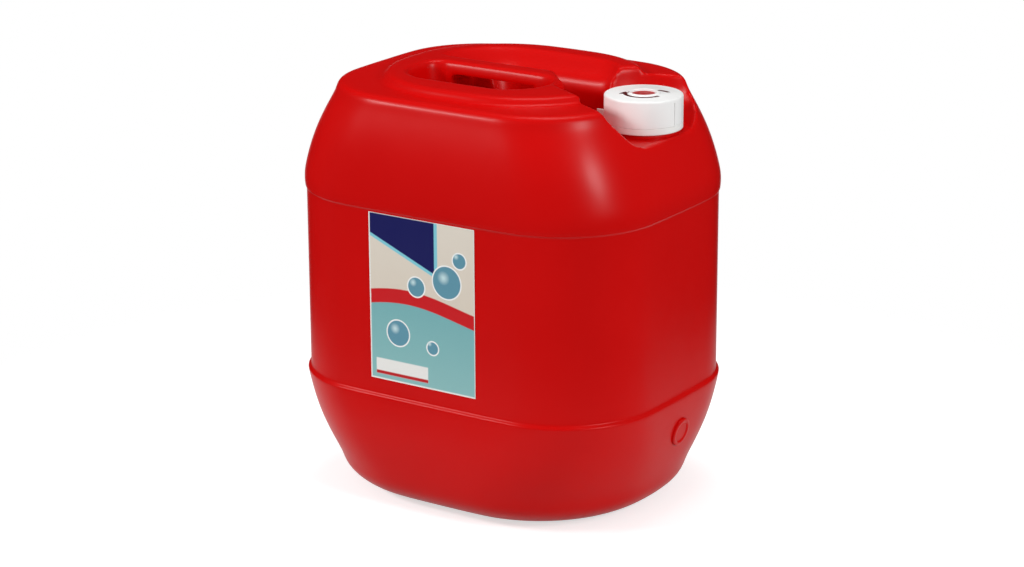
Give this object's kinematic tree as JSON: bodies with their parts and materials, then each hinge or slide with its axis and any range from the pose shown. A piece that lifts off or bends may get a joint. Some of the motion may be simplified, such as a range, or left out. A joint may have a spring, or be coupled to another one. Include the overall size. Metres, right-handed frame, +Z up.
{
  "type": "plastic canister",
  "caption": "Blow moulded plastic canister for bulk cleaner, with a sunk grip bar, a stacking ring, a white screw cap with tamper ring and a front label.",
  "frame": {"origin": "centre of the bounding box's bottom face, on the ground under the middle of the body", "axes": "+Z up, +X to the right along the label face towards the end with the cap, -Y out of the label face"},
  "size_m": [0.363, 0.2878, 0.393],
  "materials": {
    "red_plastic": "blow moulded, satin gloss",
    "white_plastic": "moulded, satin",
    "label_film": "printed film, satin",
    "wad_foam": "foamed sheet",
    "plug_red": "moulded, satin"
  },
  "bodies": {
    "canister": {"canister": "red_plastic", "tamper_ring": "white_plastic", "label": "label_film"},
    "seal": {"sealing_wad": "wad_foam"},
    "cap": {"screw_cap": "white_plastic", "vent_plug": "plug_red"}
  },
  "joints": [
    {"name": "cap_lift", "type": "slide", "parent": "canister", "child": "seal", "axis": [0, 0, 1], "range_m": [0, 0.0361]},
    {"name": "cap_turn", "type": "hinge", "parent": "seal", "child": "cap", "pos_m": [0.128, 0.02, 0.37], "axis": [0, 0, 1], "range_deg": [0, 2160]}
  ],
  "couplings": [
    {"joint": "cap_lift", "follows": "cap_turn", "m_per_rad": 0.00095493}
  ]
}
